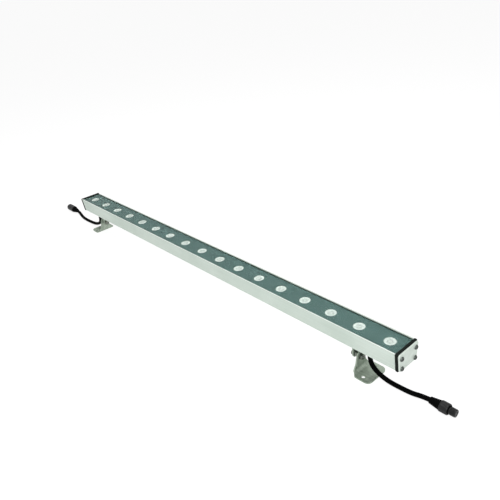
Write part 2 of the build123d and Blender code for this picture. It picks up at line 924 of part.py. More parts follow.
with BuildPart() as socket_body:
    with BuildSketch(along(1, boot_length)):
        Circle(coupling_diameter / 2)
    extrude(amount=grip_length)
    with BuildSketch(along(1, grip_end)):
        Circle(nose_diameter / 2 - seal_groove)
    extrude(amount=seal_ring_section)
    with BuildSketch(along(1, grip_end + seal_ring_section)):
        Circle(nose_diameter / 2)
    extrude(amount=nose_length - seal_ring_section)
    with BuildSketch(along(1, grip_end + nose_length)):
        with PolarLocations(pin_circle / 2, pin_count):
            Circle(pin_diameter / 2 + contact_clearance)
    extrude(amount=-pin_length, mode=Mode.SUBTRACT)
save(socket_body, "right_socket_body")

with BuildPart() as socket_seal:
    with BuildSketch(along(1, grip_end)):
        Circle(nose_diameter / 2 + seal_ring_section)
        Circle(nose_diameter / 2 - seal_groove + screw_clearance, mode=Mode.SUBTRACT)
    extrude(amount=seal_ring_section)
save(socket_seal, "right_socket_seal")

save(boot(-1), "left_plug_boot")
save(boot(1), "right_socket_boot")
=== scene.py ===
import json
import math

import bmesh
import bpy
from mathutils import Matrix, Vector


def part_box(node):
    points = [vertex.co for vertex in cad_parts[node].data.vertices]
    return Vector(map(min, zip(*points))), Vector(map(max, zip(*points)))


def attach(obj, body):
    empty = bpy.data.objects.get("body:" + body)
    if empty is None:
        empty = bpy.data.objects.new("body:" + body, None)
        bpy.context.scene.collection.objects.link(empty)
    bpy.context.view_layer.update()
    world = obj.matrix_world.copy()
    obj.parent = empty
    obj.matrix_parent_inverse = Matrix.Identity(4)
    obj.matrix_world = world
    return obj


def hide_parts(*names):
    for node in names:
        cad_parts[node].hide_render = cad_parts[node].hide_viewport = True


# LED strip batten on two tilting feet. Metres, X along the bar, floor at Z = 0.

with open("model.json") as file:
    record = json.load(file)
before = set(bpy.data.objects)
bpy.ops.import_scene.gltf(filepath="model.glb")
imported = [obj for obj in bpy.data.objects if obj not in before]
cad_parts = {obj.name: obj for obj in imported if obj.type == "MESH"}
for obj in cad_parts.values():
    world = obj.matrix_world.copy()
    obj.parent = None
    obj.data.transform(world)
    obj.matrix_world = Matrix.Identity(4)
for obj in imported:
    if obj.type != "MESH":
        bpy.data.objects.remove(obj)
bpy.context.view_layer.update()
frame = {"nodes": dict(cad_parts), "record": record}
nodes = frame["nodes"]
scene = bpy.context.scene
mm = 0.001
print("frame loaded,", len(nodes), "nodes")

# place and near in metres, turn in degrees, lens and sensor in millimetres
camera = {
    "place": (0.8476, -0.5699, 0.6166), "turn": (61.7737, 5.4288, 47.5435),
    "lens": 39.32, "sensor": 36, "near": 0.01}

cameraData = bpy.data.cameras.new("camera")
cameraData.lens = camera["lens"]
cameraData.sensor_width = camera["sensor"]
cameraData.clip_start = camera["near"]
cameraObject = bpy.data.objects.new("camera", cameraData)
cameraObject.location = camera["place"]
cameraObject.rotation_euler = [math.radians(a) for a in camera["turn"]]
scene.collection.objects.link(cameraObject)
scene.camera = cameraObject
scene.view_settings.view_transform = "Standard"
print("camera placed")


def linear(code):
    # sRGB hex to the linear colour that sockets take
    parts = [int(code[i:i + 2], 16) / 255 for i in (0, 2, 4)]
    return [c / 12.92 if c <= 0.04045 else ((c + 0.055) / 1.055) ** 2.4 for c in parts] + [1.0]


def addNode(tree, kind, inputs, stops=None, **settings):
    # a node with its settings; an input is a number, a hex colour, a node or a node's output
    node = tree.nodes.new("ShaderNode" + kind)
    for name, value in settings.items():
        setattr(node, name, value)
    for socket, value in inputs.items():
        if isinstance(value, bpy.types.Node):
            value = value.outputs[0]
        if isinstance(value, bpy.types.NodeSocket):
            tree.links.new(value, node.inputs[socket])
        else:
            node.inputs[socket].default_value = linear(value) if isinstance(value, str) else value
    for i, (position, code) in enumerate(stops or []):
        elements = node.color_ramp.elements
        stop = elements[i] if i < 2 else elements.new(position)
        stop.position = position
        stop.color = linear(code)
    return node


def startMaterial(name):
    material = bpy.data.materials.new(name)
    material.use_nodes = True
    material.node_tree.nodes.clear()
    place = addNode(material.node_tree, "TexCoord", {}).outputs["Object"]
    return material, material.node_tree, place


def finishMaterial(material, sockets):
    shader = addNode(material.node_tree, "BsdfPrincipled", sockets)
    addNode(material.node_tree, "OutputMaterial", {"Surface": shader})
    return material


def extrudedAluminium():
    # Extruded aluminium, etched and clear anodised: a soft even silver with faint lines along its length.
    material, tree, place = startMaterial("anodised aluminium extrusion")
    # die lines 0.9 mm apart: real ones are finer, and wouldn't show
    along = addNode(tree, "Mapping", {"Vector": place, "Scale": (5, 1100, 1100)})
    lines = addNode(tree, "TexNoise", {"Vector": along, "Scale": 1.0, "Detail": 3.0, "Roughness": 0.65})
    etch = addNode(tree, "TexNoise", {"Vector": place, "Scale": 2500.0, "Detail": 2.0})  # 0.4 mm matt grain
    cloud = addNode(tree, "TexNoise", {"Vector": place, "Scale": 14.0, "Detail": 3.0})  # 70 mm drift of tone
    tone = addNode(tree, "ValToRGB", {"Fac": lines}, stops=[(0.25, "CAD5CC"), (0.75, "DBE6DE")])
    drift = addNode(tree, "ValToRGB", {"Fac": cloud}, stops=[(0.3, "F1F4F2"), (0.7, "FFFFFF")])
    even = addNode(tree, "MixRGB", {"Fac": 1.0, "Color1": tone, "Color2": drift}, blend_type="MULTIPLY")
    # upward faces are painted brighter: a painted highlight along the upper lips
    faces = addNode(tree, "TexCoord", {}).outputs["Normal"]
    up = addNode(tree, "SeparateXYZ", {"Vector": faces}).outputs["Z"]
    paintedTopHighlight = addNode(tree, "MapRange", {"Value": up, "From Min": 0.5, "From Max": 0.95, "To Max": 0.52})
    colour = addNode(tree, "MixRGB", {"Fac": paintedTopHighlight, "Color1": even, "Color2": "F7FBF8"})
    rough = addNode(tree, "MapRange", {"Value": lines, "To Min": 0.44, "To Max": 0.58})
    fine = addNode(tree, "Bump", {"Height": etch, "Strength": 0.12, "Distance": 0.02 * mm})
    bump = addNode(tree, "Bump", {"Height": lines, "Strength": 0.25, "Distance": 0.02 * mm, "Normal": fine})
    return finishMaterial(material, {
        "Base Color": colour, "Metallic": 0.55, "Roughness": rough, "Normal": bump})


def plateAluminium():
    # Punched aluminium plate, blasted then anodised: flatter and a shade lighter than the extrusion.
    material, tree, place = startMaterial("blasted aluminium plate")
    grit = addNode(tree, "TexNoise", {"Vector": place, "Scale": 1800.0, "Detail": 3.0})  # 0.55 mm grit
    cloud = addNode(tree, "TexNoise", {"Vector": place, "Scale": 90.0, "Detail": 3.0})  # 11 mm drift of tone
    colour = addNode(tree, "ValToRGB", {"Fac": cloud}, stops=[(0.3, "D0DBD2"), (0.7, "DFE9E1")])
    rough = addNode(tree, "MapRange", {"Value": grit, "To Min": 0.40, "To Max": 0.55})
    bump = addNode(tree, "Bump", {"Height": grit, "Strength": 0.2, "Distance": 0.02 * mm})
    return finishMaterial(material, {
        "Base Color": colour, "Metallic": 0.45, "Roughness": rough, "Normal": bump})


def pressedSteel():
    # Stainless sheet, pressed and tumbled: grey with a blurred sheen, scuffs, a mottle and rolling grain.
    material, tree, place = startMaterial("tumbled stainless sheet")
    # 6 mm mottle and 1.4 mm tumble marks
    mottle = addNode(tree, "TexNoise", {"Vector": place, "Scale": 160.0, "Detail": 4.0, "Roughness": 0.6})
    scuff = addNode(tree, "TexVoronoi", {"Vector": place, "Scale": 700.0}, feature="SMOOTH_F1")
    # grain up the web and out on the plate, 1.4 mm wide and 25 mm long: real grain is too fine to show
    rolled = addNode(tree, "Mapping", {"Vector": place, "Scale": (40, 700, 40)})
    grain = addNode(tree, "TexNoise", {"Vector": rolled, "Scale": 1.0, "Detail": 3.0})
    tone = addNode(tree, "ValToRGB", {"Fac": mottle}, stops=[(0.3, "A3ADA1"), (0.7, "BBC5B9")])
    streak = addNode(tree, "ValToRGB", {"Fac": grain}, stops=[(0.3, "D2D9D2"), (0.7, "FFFFFF")])
    colour = addNode(tree, "MixRGB", {"Fac": 1.0, "Color1": tone, "Color2": streak}, blend_type="MULTIPLY")
    rough = addNode(tree, "MapRange", {"Value": grain, "To Min": 0.52, "To Max": 0.7})
    deep = scuff.outputs["Distance"]
    dents = addNode(tree, "Bump", {"Height": deep, "Strength": 0.15, "Distance": 0.05 * mm})
    bump = addNode(tree, "Bump", {"Height": grain, "Strength": 0.15, "Distance": 0.02 * mm, "Normal": dents})
    return finishMaterial(material, {
        "Base Color": colour, "Metallic": 1.0, "Roughness": rough, "Normal": bump})


def zincSteel():
    # Zinc plate on cold-headed steel, its grey painted dark for the shade under the bar: cooler and yellower
    # in patches, a blurred gloss.
    material, tree, place = startMaterial("zinc plate painted dark for shade")
    patch = addNode(tree, "TexNoise", {"Vector": place, "Scale": 350.0, "Detail": 3.0})  # 3 mm patches
    grain = addNode(tree, "TexNoise", {"Vector": place, "Scale": 3000.0, "Detail": 2.0})  # 0.3 mm grain
    colour = addNode(tree, "ValToRGB", {"Fac": patch}, stops=[
        (0.25, "666D6A"), (0.5, "747972"), (0.75, "7A7A6A")])
    rough = addNode(tree, "MapRange", {"Value": grain, "To Min": 0.2, "To Max": 0.36})
    bump = addNode(tree, "Bump", {"Height": grain, "Strength": 0.1, "Distance": 0.02 * mm})
    return finishMaterial(material, {
        "Base Color": colour, "Metallic": 1.0, "Roughness": rough, "Normal": bump})


def screwSteel():
    # Cold-headed stainless, its grey painted dark for the room's shade that it mirrors; polished by the
    # heading die, with a fine grain.
    material, tree, place = startMaterial("stainless screw")
    grain = addNode(tree, "TexNoise", {"Vector": place, "Scale": 2200.0, "Detail": 3.0})  # 0.45 mm grain
    colour = addNode(tree, "ValToRGB", {"Fac": grain}, stops=[(0.3, "4B504D"), (0.7, "646A66")])
    rough = addNode(tree, "MapRange", {"Value": grain, "To Min": 0.2, "To Max": 0.34})
    return finishMaterial(material, {"Base Color": colour, "Metallic": 1.0, "Roughness": rough})


def paintedRecessShade():
    # Inside of a driven recess: painted near black for the shade that falls in it.
    material, tree, place = startMaterial("painted recess shade")
    grain = addNode(tree, "TexNoise", {"Vector": place, "Scale": 2200.0, "Detail": 3.0})  # 0.45 mm grain
    colour = addNode(tree, "ValToRGB", {"Fac": grain}, stops=[(0.3, "1F2321"), (0.7, "2C312E")])
    rough = addNode(tree, "MapRange", {"Value": grain, "To Min": 0.5, "To Max": 0.7})
    return finishMaterial(material, {"Base Color": colour, "Metallic": 0.5, "Roughness": rough})


def mouldedRubber(name, low, high, sheen):
    # Moulded rubber: near black, broad soft highlight, fine pitted skin with a breath of pale bloom.
    material, tree, place = startMaterial(name)
    skin = addNode(tree, "TexNoise", {"Vector": place, "Scale": 1600.0, "Detail": 3.0})  # 0.6 mm pitting
    bloom = addNode(tree, "TexNoise", {"Vector": place, "Scale": 120.0, "Detail": 4.0})  # 8 mm patches
    colour = addNode(tree, "ValToRGB", {"Fac": bloom}, stops=[(0.35, low), (0.7, high)])
    rough = addNode(tree, "MapRange", {"Value": bloom, "To Min": 0.55, "To Max": 0.75})
    bump = addNode(tree, "Bump", {"Height": skin, "Strength": 0.2, "Distance": 0.04 * mm})
    return finishMaterial(material, {
        "Base Color": colour, "Roughness": rough, "Normal": bump, "Sheen Weight": sheen,
        "Sheen Roughness": 0.5, "Specular IOR Level": 0.02})


def mouldedNylon(name, low, high):
    # Glass-filled nylon from a spark-eroded mould: black with a fine pebbled satin surface.
    material, tree, place = startMaterial(name)
    pebble = addNode(tree, "TexVoronoi", {"Vector": place, "Scale": 2400.0}).outputs["Distance"]  # 0.4 mm
    drift = addNode(tree, "TexNoise", {"Vector": place, "Scale": 200.0, "Detail": 3.0})  # 5 mm patches
    colour = addNode(tree, "ValToRGB", {"Fac": drift}, stops=[(0.3, low), (0.7, high)])
    rough = addNode(tree, "MapRange", {"Value": drift, "To Min": 0.36, "To Max": 0.5})
    bump = addNode(tree, "Bump", {"Height": pebble, "Strength": 0.15, "Distance": 0.03 * mm})
    return finishMaterial(material, {
        "Base Color": colour, "Roughness": rough, "Normal": bump, "Specular IOR Level": 0.3})


def toughenedGlass():
    # Float glass, toughened: clear, with a fainter mirror of the room than bare glass. Lamps pass through.
    material, tree, place = startMaterial("toughened float glass")
    wave = addNode(tree, "TexNoise", {"Vector": place, "Scale": 30.0, "Detail": 1.0})  # 33 mm roller wave
    rough = addNode(tree, "MapRange", {"Value": wave, "To Min": 0.02, "To Max": 0.05})
    clear = addNode(tree, "BsdfPrincipled", {
        "Base Color": "FAFCFB", "Roughness": rough, "Transmission Weight": 1.0, "IOR": 1.07})
    unseen = addNode(tree, "BsdfTransparent", {"Color": "FAFCFB"})
    lamp = addNode(tree, "LightPath", {}).outputs["Is Shadow Ray"]
    both = addNode(tree, "MixShader", {0: lamp, 1: clear, 2: unseen})
    addNode(tree, "OutputMaterial", {"Surface": both})
    return material


def groundEdge():
    # Edge of the glass, ground and bedded in black silicone: frosted and dark green.
    material, tree, place = startMaterial("ground glass edge")
    grind = addNode(tree, "TexNoise", {"Vector": place, "Scale": 1500.0, "Detail": 3.0})  # 0.65 mm grinding
    colour = addNode(tree, "ValToRGB", {"Fac": grind}, stops=[(0.3, "34453F"), (0.7, "43544D")])
    bump = addNode(tree, "Bump", {"Height": grind, "Strength": 0.3, "Distance": 0.03 * mm})
    return finishMaterial(material, {"Base Color": colour, "Roughness": 0.55, "Normal": bump, "IOR": 1.5})


def printedFilm():
    # Screen-printed film behind the glass: flat teal grey with a slight mottle of ink.
    material, tree, place = startMaterial("screen-printed film")
    # 6 mm mottle and 1 mm ink grain
    mottle = addNode(tree, "TexNoise", {"Vector": place, "Scale": 160.0, "Detail": 4.0, "Roughness": 0.6})
    dots = addNode(tree, "TexNoise", {"Vector": place, "Scale": 900.0, "Detail": 1.0})
    colour = addNode(tree, "ValToRGB", {"Fac": mottle}, stops=[(0.3, "405552"), (0.7, "465B58")])
    rough = addNode(tree, "MapRange", {"Value": dots, "To Min": 0.5, "To Max": 0.65})
    bump = addNode(tree, "Bump", {"Height": dots, "Strength": 0.1, "Distance": 0.02 * mm})
    return finishMaterial(material, {
        "Base Color": colour, "Roughness": rough, "Normal": bump, "Specular IOR Level": 0.02})


def lensAcrylic(pitch, radius, step):
    # Moulded acrylic, frosted: milky and cloudy in patches, with painted rings of highlight and a painted
    # shade at the rim where it meets its cup.
    material, tree, place = startMaterial("frosted acrylic lens")
    # distance from the middle of a point's own lens
    parts = addNode(tree, "SeparateXYZ", {"Vector": place})
    own = addNode(tree, "Math", {0: parts.outputs["X"], 1: pitch / 2, 2: -pitch / 2}, operation="WRAP")
    flat = addNode(tree, "CombineXYZ", {"X": own, "Y": parts.outputs["Y"]})
    away = addNode(tree, "VectorMath", {0: flat}, operation="LENGTH").outputs["Value"]
    waver = 1.6 * mm  # how far the edge of a ring strays
    frost = addNode(tree, "TexNoise", {"Vector": place, "Scale": 450.0, "Detail": 3.0})  # every 2 mm
    shaken = addNode(tree, "Math", {0: frost, 1: waver, 2: away}, operation="MULTIPLY_ADD")
    share = addNode(tree, "MapRange", {"Value": shaken, "From Min": 0.0, "From Max": radius + waver / 2})
    # painted light and shade: the brighter rings stand for highlights, the darker rim for shade where it
    # meets its cup
    ringsOfPaintedLight = addNode(tree, "ValToRGB", {"Fac": share}, stops=[
        (0.0, "A8AFAB"), (1.0, "828B86"), (0.18, "B8BFBB"), (0.42, "A0A7A3"), (0.6, "B7BEBA"),
        (0.82, "C7CECA"), (0.93, "9AA39E")])
    milky = addNode(tree, "TexNoise", {"Vector": place, "Scale": 300.0, "Detail": 2.0})  # 3.3 mm patches
    milk = addNode(tree, "ValToRGB", {"Fac": milky}, stops=[(0.38, "DADEDB"), (0.62, "FFFFFF")])
    colour = addNode(tree, "MixRGB", {"Fac": 1.0, "Color1": ringsOfPaintedLight, "Color2": milk}, blend_type="MULTIPLY")
    rings = addNode(tree, "Math", {0: away, 1: 2 * math.pi / step}, operation="MULTIPLY")
    ripple = addNode(tree, "Math", {0: rings}, operation="SINE")
    bump = addNode(tree, "Bump", {"Height": ripple, "Strength": 0.2, "Distance": 0.05 * mm})
    return finishMaterial(material, {
        "Base Color": colour, "Roughness": 0.34, "Normal": bump, "Coat Weight": 0.1, "Coat Roughness": 0.15,
        "IOR": 1.49})


def plainMoulding(name, low, high, size, roughness):
    # Hidden mouldings and boards: an even colour with a light grain of its own size in millimetres.
    material, tree, place = startMaterial(name)
    spread = 0.06
    grain = addNode(tree, "TexNoise", {"Vector": place, "Scale": 1 / (size * mm), "Detail": 3.0})
    colour = addNode(tree, "ValToRGB", {"Fac": grain}, stops=[(0.3, low), (0.7, high)])
    rough = addNode(tree, "MapRange", {
        "Value": grain, "To Min": roughness - spread, "To Max": roughness + spread})
    bump = addNode(tree, "Bump", {"Height": grain, "Strength": 0.1, "Distance": 0.03 * mm})
    return finishMaterial(material, {"Base Color": colour, "Roughness": rough, "Normal": bump})


def platedBrass():
    # Turned brass, tin flashed: pale gold with fine turning rings.
    material, tree, place = startMaterial("plated brass")
    along = addNode(tree, "Mapping", {"Vector": place, "Scale": (2500, 200, 200)})  # rings 0.4 mm apart
    rings = addNode(tree, "TexNoise", {"Vector": along, "Scale": 1.0, "Detail": 2.0})
    colour = addNode(tree, "ValToRGB", {"Fac": rings}, stops=[(0.3, "CDB97B"), (0.7, "DECB92")])
    rough = addNode(tree, "MapRange", {"Value": rings, "To Min": 0.2, "To Max": 0.35})
    return finishMaterial(material, {"Base Color": colour, "Metallic": 1.0, "Roughness": rough})


# lenses, in millimetres: a row, then the flange, the dish inside the rim with its steps, and the cone below
lens = {
    "count": 17, "span": 933.6,  # span is from the first centre to the last
    "radius": 10.4, "flange": 1.2, "edge": 0.15,
    "rim": 9.6, "ledge": 0.1, "dish": 0.5, "step": 0.9, "slope": 0.63, "relief": 0.12, "pip": 0.3,
    "height": 9.2, "cone": 9.9, "foot": 4.8, "sharp": 50,
    "well": [(0, 4.9), (2.0, 4.7), (3.0, 4.0), (3.0, 0)]}  # radius, and height above the foot
lensPitch = lens["span"] * mm / (lens["count"] - 1)

finishes = {
    "anodised_aluminium": extrudedAluminium(),
    "anodised_aluminium_plate": plateAluminium(),
    "toughened_glass": toughenedGlass(),
    "window_print": printedFilm(),
    "silicone_seal": mouldedRubber("silicone seal", "101313", "181C1C", 0.02),
    "black_rubber": mouldedRubber("gasket rubber", "1B201D", "262B28", 0.01),
    "gland_rubber": mouldedRubber("gland rubber", "0B0C0C", "121313", 0.02),
    "white_board": plainMoulding("white solder mask", "DDE0DC", "E8EAE6", 1.2, 0.45),
    "emitter_resin": plainMoulding("phosphor resin", "E3CB6A", "EED98A", 0.8, 0.25),
    "lens_acrylic": lensAcrylic(lensPitch, lens["radius"] * mm, lens["step"] * mm),
    "white_nylon": plainMoulding("white nylon", "DADDD9", "E6E9E5", 0.8, 0.5),
    "green_board": plainMoulding("green solder mask", "12502A", "1B6335", 1.0, 0.4),
    "coil_ferrite": plainMoulding("ferrite", "2A2A2C", "343436", 0.5, 0.6),
    "chip_epoxy": plainMoulding("chip epoxy", "161617", "1F1F21", 0.5, 0.5),
    "screw_steel": screwSteel(),
    "black_nylon": mouldedNylon("black nylon", "0E0F10", "17191A"),
    "lead_rubber": mouldedRubber("lead sheath rubber", "020303", "060707", 0.01),
    "foot_steel": pressedSteel(),
    "zinc_steel": zincSteel(),
    "connector_nylon": mouldedNylon("connector nylon", "060708", "0C0D0E"),
    "connector_rubber": mouldedRubber("connector rubber", "050606", "0B0C0C", 0.01),
    "pin_brass": platedBrass(),
}
for part in frame["record"]["subparts"]:
    surface = nodes[part["node"]].data
    surface.materials.clear()
    surface.materials.append(finishes[part["material_slot"]])
print("materials made,", len(finishes))


bodyOf = {node: body for body, members in frame["record"]["behaviour"]["bodies"].items() for node in members}
slotOf = {part["node"]: part["material_slot"] for part in frame["record"]["subparts"]}
sides = {"left": -1, "right": 1}
sharpAngle = 38  # degrees between faces: beyond it an edge is shaded sharp, and broken


def addPiece(bm, node, surfaces=(), sharp=sharpAngle):
    # one finished piece in place of a CAD node: it takes that node's body and finish
    words = node.split("_")
    name = words[0] + "".join(word.capitalize() for word in words[1:])
    bmesh.ops.recalc_face_normals(bm, faces=bm.faces)
    mesh = bpy.data.meshes.new(name)
    bm.to_mesh(mesh)
    bm.free()
    mesh.shade_smooth()
    mesh.set_sharp_from_angle(angle=math.radians(sharp))
    for surface in surfaces or [finishes[slotOf[node]]]:
        mesh.materials.append(surface)
    piece = bpy.data.objects.new(name, mesh)
    scene.collection.objects.link(piece)
    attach(piece, bodyOf[node])
    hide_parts(node)
    return piece


def turned(bm, steps):
    # all the edges of a bmesh turned once about Z
    geom = list(bm.verts) + list(bm.edges)
    bmesh.ops.spin(bm, geom=geom, cent=(0, 0, 0), axis=(0, 0, 1), angle=2 * math.pi, steps=steps,
                   use_merge=True)
    bmesh.ops.remove_doubles(bm, verts=bm.verts, dist=0.001 * mm)
    bmesh.ops.recalc_face_normals(bm, faces=bm.faces)
    return bm


def spun(profile, steps=48, closed=False):
    # (radius, height) points in millimetres, turned about Z; a closed profile makes a ring
    bm = bmesh.new()
    points = [bm.verts.new((radius * mm, 0, height * mm)) for radius, height in profile]
    ends = points[1:] + points[:1] if closed else points[1:]
    for pair in zip(points, ends):
        bm.edges.new(pair)
    return turned(bm, steps)


def carved(solid, tool, operation):
    # one bmesh cut by another or met with it; both are freed
    pair = []
    for bm in (solid, tool):
        mesh = bpy.data.meshes.new("carving")
        bm.to_mesh(mesh)
        bm.free()
        pair.append(bpy.data.objects.new("carving", mesh))
        scene.collection.objects.link(pair[-1])
    cut = pair[0].modifiers.new("cut", "BOOLEAN")
    cut.object = pair[1]
    cut.operation = operation
    cut.solver = "EXACT"
    result = bmesh.new()
    result.from_object(pair[0], bpy.context.evaluated_depsgraph_get())
    for used in pair:
        mesh = used.data
        bpy.data.objects.remove(used)
        bpy.data.meshes.remove(mesh)
    return result


def gather(parts):
    # several (bmesh, matrix) pairs as one; each is freed
    whole = bmesh.new()
    for bm, matrix in parts:
        mesh = bpy.data.meshes.new("part")
        bm.to_mesh(mesh)
        mesh.transform(matrix)
        whole.from_mesh(mesh)
        bpy.data.meshes.remove(mesh)
    for bm in {id(bm): bm for bm, matrix in parts}.values():
        bm.free()
    return whole


def facing(sign, x, y=0.0, z=0.0):
    # Z of a turned piece laid along the bar, outwards at the end given by sign; millimetres
    turn = Matrix.Rotation(math.radians(90 * sign), 4, "Y")
    return Matrix.Translation((x * mm, y * mm, z * mm)) @ turn


def reachOf(node, sign):
    # the X nearest to and furthest from the middle of the bar, in millimetres
    low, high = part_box(node)
    return (high[0] / mm, low[0] / mm) if sign < 0 else (low[0] / mm, high[0] / mm)


def thread(radius, pitch, turns, depth, steps=32):
    # helical ridge: a triangle swept up a screw line, closed at both ends, its root sunk in the core
    bm = bmesh.new()
    root = radius - depth - 0.1
    flank = 0.42 * pitch
    corners = [bm.verts.new((r * mm, 0, z * mm)) for r, z in ((root, -flank), (radius, 0), (root, flank))]
    start = bm.faces.new(corners)
    geom = [start] + list(start.edges) + list(start.verts)
    bmesh.ops.spin(bm, geom=geom, cent=(0, 0, 0), axis=(0, 0, 1), angle=2 * math.pi * turns,
                   steps=round(steps * turns), dvec=(0, 0, pitch * mm / steps))
    bmesh.ops.recalc_face_normals(bm, faces=bm.faces)
    return bm


def hexagon(flats, height, bore=0.0):
    # chamfered hexagon: a prism met with a turned blank, which is a ring where there is a bore
    corner = flats / math.sqrt(3)
    bm = bmesh.new()
    bmesh.ops.create_circle(bm, cap_ends=True, segments=6, radius=corner * mm)
    grown = bmesh.ops.extrude_face_region(bm, geom=list(bm.faces))["geom"]
    upper = [v for v in grown if isinstance(v, bmesh.types.BMVert)]
    bmesh.ops.translate(bm, verts=upper, vec=(0, 0, height * mm))
    bmesh.ops.recalc_face_normals(bm, faces=bm.faces)
    crown = 0.475 * flats  # radius of the flat that the chamfer leaves
    wide = corner + 0.2  # the blank clears the corners
    drop = (wide - crown) * math.tan(math.radians(30))
    if bore:
        blank = spun([(bore, 0), (crown, 0), (wide, drop), (wide, height - drop), (crown, height),
                      (bore, height)], closed=True)
    else:
        blank = spun([(0, -0.1), (wide, -0.1), (wide, height - drop), (crown, height), (0, height)])
    return carved(bm, blank, "INTERSECT")


# visible parts that keep their CAD shape: a merged copy with broken edges; radius in millimetres, 0 for none
brokenEdges = {
    "housing_extrusion": 0.25, "left_end_gasket": 0.0, "right_end_gasket": 0.0, "left_end_cap": 0.25,
    "right_end_cap": 0.25, "left_foot": 0.5, "right_foot": 0.5, "left_hanger": 0.5, "right_hanger": 0.5,
    "left_slot_nut": 0.4, "right_slot_nut": 0.4, "left_pivot_sleeve": 0.3, "right_pivot_sleeve": 0.3,
    "left_pivot_washer": 0.2, "right_pivot_washer": 0.2, "left_gland_body": 0.5, "right_gland_body": 0.5,
    "left_gland_nut": 0.5, "right_gland_nut": 0.5, "left_plug_ring": 0.35}
for node, radius in brokenEdges.items():
    # loose triangles are merged first, and flat ones joined
    bm = bmesh.new()
    bm.from_mesh(nodes[node].data)
    bmesh.ops.remove_doubles(bm, verts=bm.verts, dist=0.002 * mm)
    bmesh.ops.dissolve_limit(bm, angle_limit=math.radians(0.5), verts=bm.verts, edges=bm.edges)
    piece = addPiece(bm, node)
    if radius:
        edge = piece.modifiers.new("brokenEdges", "BEVEL")
        edge.width = radius * mm
        edge.segments = 2
        edge.limit_method = "ANGLE"
        edge.angle_limit = math.radians(sharpAngle)
        edge.harden_normals = True
print("kept shapes finished,", len(brokenEdges), "parts")


# glass: thinner than its seat by a hair, so that its lower face stays clear of the film
pane = {"lift": 0.08, "edge": 0.5, "sharp": 20}
low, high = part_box("cover_glass")
low = Vector(low) + Vector((0, 0, pane["lift"] * mm))
bm = bmesh.new()
bmesh.ops.create_cube(bm, size=1)
bmesh.ops.scale(bm, verts=bm.verts, vec=Vector(high) - low)
bmesh.ops.translate(bm, verts=bm.verts, vec=(low + Vector(high)) / 2)
rims = [e for e in bm.edges if all(v.co.z > high[2] - mm for v in e.verts)]
bmesh.ops.bevel(bm, geom=rims, offset=pane["edge"] * mm, segments=2, profile=0.5, affect="EDGES", material=-1)
for face in bm.faces:
    face.material_index = 0 if abs(face.normal.z) > 0.99 else 1
addPiece(bm, "cover_glass", [finishes["toughened_glass"], groundEdge()], sharp=pane["sharp"])


# lenses: a rim, a shallow dish with moulded steps, and the well that sits over each emitter
wide, rim, foot = lens["radius"], lens["rim"], -lens["height"]
profile = [(radius, foot + rise) for radius, rise in lens["well"]]
profile += [(lens["foot"], foot), (lens["cone"], -lens["flange"]), (wide, -lens["flange"]),
            (wide, -lens["edge"]), (wide - lens["edge"], 0), (rim, 0)]
ring = rim - lens["ledge"]
while ring > lens["step"]:
    deep = lens["dish"] * (1 - (ring / rim) ** 2)
    profile += [(ring, -deep - lens["relief"]), (ring - lens["slope"], -deep)]
    ring -= lens["step"]
profile += [(lens["pip"], -lens["dish"] - lens["relief"]), (0, -lens["dish"] - lens["relief"])]
blank = spun(profile, 56)
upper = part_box("lenses")[1][2]
middle = (lens["count"] - 1) / 2
places = [Matrix.Translation((lensPitch * (i - middle), 0, upper)) for i in range(lens["count"])]
addPiece(gather([(blank, place) for place in places]), "lenses", sharp=lens["sharp"])
print("glass and lenses made")


# end plate screws: pan heads with a crossed recess that narrows as it deepens
# crown is radius and height; a place is across, height and turn, as they are driven home at any angle
screw = {
    "rise": 2.6, "crown": [(1.6, 2.54), (2.9, 2.25), (3.6, 1.6), (4.0, 0.7), (4.0, 0.1), (3.9, 0)],
    "shank": 2.0, "length": 15.0, "tip": 0.6,
    "recess": 5.4, "slot": 1.6, "depth": 2.0, "narrow": (0.35, 0.8, 1),
    "places": [(-17.2, 60, 20), (17.2, 60, 75), (-18.5, 79, 50), (18.5, 79, 5)]}
# the recess faces of the screw heads take this painted shade
recess = paintedRecessShade()
for side, sign in sides.items():
    head = spun([(0, screw["rise"])] + screw["crown"] + [
        (screw["shank"], 0), (screw["shank"], -screw["length"] + screw["tip"]),
        (screw["shank"] - screw["tip"], -screw["length"]), (0, -screw["length"])])
    for turn in (0, 90):
        blade = bmesh.new()
        size = (screw["recess"] * mm, screw["slot"] * mm, 2 * screw["depth"] * mm)
        bmesh.ops.create_cube(blade, size=1)
        bmesh.ops.scale(blade, verts=blade.verts, vec=size)
        tip = [v for v in blade.verts if v.co.z < 0]
        bmesh.ops.scale(blade, verts=tip, vec=screw["narrow"])
        bmesh.ops.translate(blade, verts=blade.verts, vec=(0, 0, screw["rise"] * mm))
        bmesh.ops.rotate(blade, verts=blade.verts, matrix=Matrix.Rotation(math.radians(turn), 3, "Z"))
        head = carved(head, blade, "DIFFERENCE")
    for face in head.faces:
        # the recess is what lies between the underside and the crown, near the middle
        centre = face.calc_center_median() / mm
        inside = 0.2 < centre.z < screw["rise"] - 0.4 and centre.xy.length < screw["recess"] / 2
        face.material_index = 1 if inside else 0
    seat = reachOf(side + "_cap_screws", sign)[1] - sign * screw["rise"]
    heads = []
    for across, height, turn in screw["places"]:
        place = facing(sign, seat, across, height)
        heads.append((head, place @ Matrix.Rotation(math.radians(turn), 4, "Z")))
    addPiece(gather(heads), side + "_cap_screws", [finishes["screw_steel"], recess])
print("end plate screws made")


# bolts and nuts: chamfered hexagons, and a rolled thread on the end of the pivot bolt
bolt = {
    "radius": 3.0, "flats": 10.0, "head": 4.0, "nut": 4.0, "fit": 0.05, "tip": 0.4,
    "pitch": 1.0, "turns": 7, "depth": 0.45, "start": 0.5, "height": 27, "nutTurn": 17}


def rod(radius, length):
    return spun([(0, 0), (radius, 0), (radius, length - bolt["tip"]), (radius - bolt["tip"], length),
                 (0, length)], 32)


